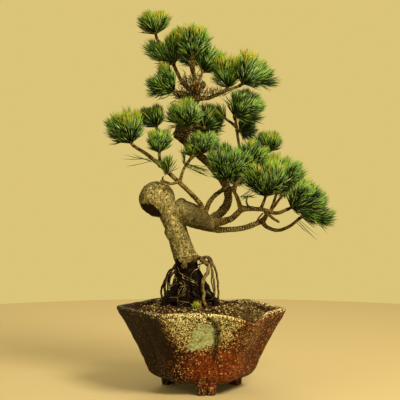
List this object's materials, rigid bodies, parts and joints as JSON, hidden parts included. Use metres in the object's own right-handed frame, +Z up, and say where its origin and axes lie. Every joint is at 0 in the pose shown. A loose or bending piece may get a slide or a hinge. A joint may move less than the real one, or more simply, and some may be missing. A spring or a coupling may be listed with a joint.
{
  "type": "potted japanese white pine bonsai",
  "caption": "Potted bonsai pine: a leaning trunk on bare roots with a round burl, arching boughs tipped with brush-like needle tufts, in a rough six-sided stoneware bowl.",
  "frame": {"origin": "on the floor, under the middle of the whole plant's box; the bowl's own middle is 21 mm to its left", "axes": "+Z up along the tree, +X to the right as the picture shows it, +Y to the back, away from the viewer"},
  "size_m": [0.2784, 0.1823, 0.4536],
  "materials": {
    "stoneware": "matte",
    "soil": "matte",
    "old_bark": "matte",
    "young_bark": "matte",
    "dark_bark": "matte",
    "bare_root": "matte",
    "needles": "satin"
  },
  "bodies": {
    "root": {"apex_stem": "young_bark", "back_bough_low": "young_bark", "back_bough_middle": "young_bark", "back_bough_right": "young_bark", "back_bough_top": "young_bark", "bowl": "stoneware", "fork_twig": "young_bark", "inner_bough": "young_bark", "leader_lower": "dark_bark", "leader_middle": "dark_bark", "leader_upper": "dark_bark", "left_bough": "young_bark", "left_riser": "young_bark", "low_bough": "old_bark", "low_bough_link": "old_bark", "low_bough_right": "old_bark", "main_bough": "old_bark", "middle_bough": "young_bark", "middle_bough_left": "young_bark", "middle_bough_right": "young_bark", "middle_bough_rise": "young_bark", "needles_apex": "needles", "needles_back_low": "needles", "needles_back_middle": "needles", "needles_back_right": "needles", "needles_back_top": "needles", "needles_behind_shoulder": "needles", "needles_centre": "needles", "needles_centre_high": "needles", "needles_centre_right": "needles", "needles_far_left": "needles", "needles_far_right": "needles", "needles_far_right_low": "needles", "needles_fork_sprig": "needles", "needles_inside_shoulder": "needles", "needles_left_high": "needles", "needles_left_low": "needles", "needles_left_sprig": "needles", "needles_middle": "needles", "needles_middle_back": "needles", "needles_right": "needles", "needles_right_back": "needles", "needles_right_high": "needles", "needles_right_shoulder": "needles", "needles_top_inner": "needles", "needles_top_left": "needles", "needles_top_right": "needles", "needles_upper_left": "needles", "needles_upper_right": "needles", "needles_upper_right_inner": "needles", "right_riser": "young_bark", "root_loop_left": "bare_root", "root_loop_right": "bare_root", "root_thread_left": "bare_root", "root_thread_right": "bare_root", "soil": "soil", "top_left_bough": "young_bark", "top_right_bough": "young_bark", "trunk": "old_bark"}
  },
  "joints": []
}
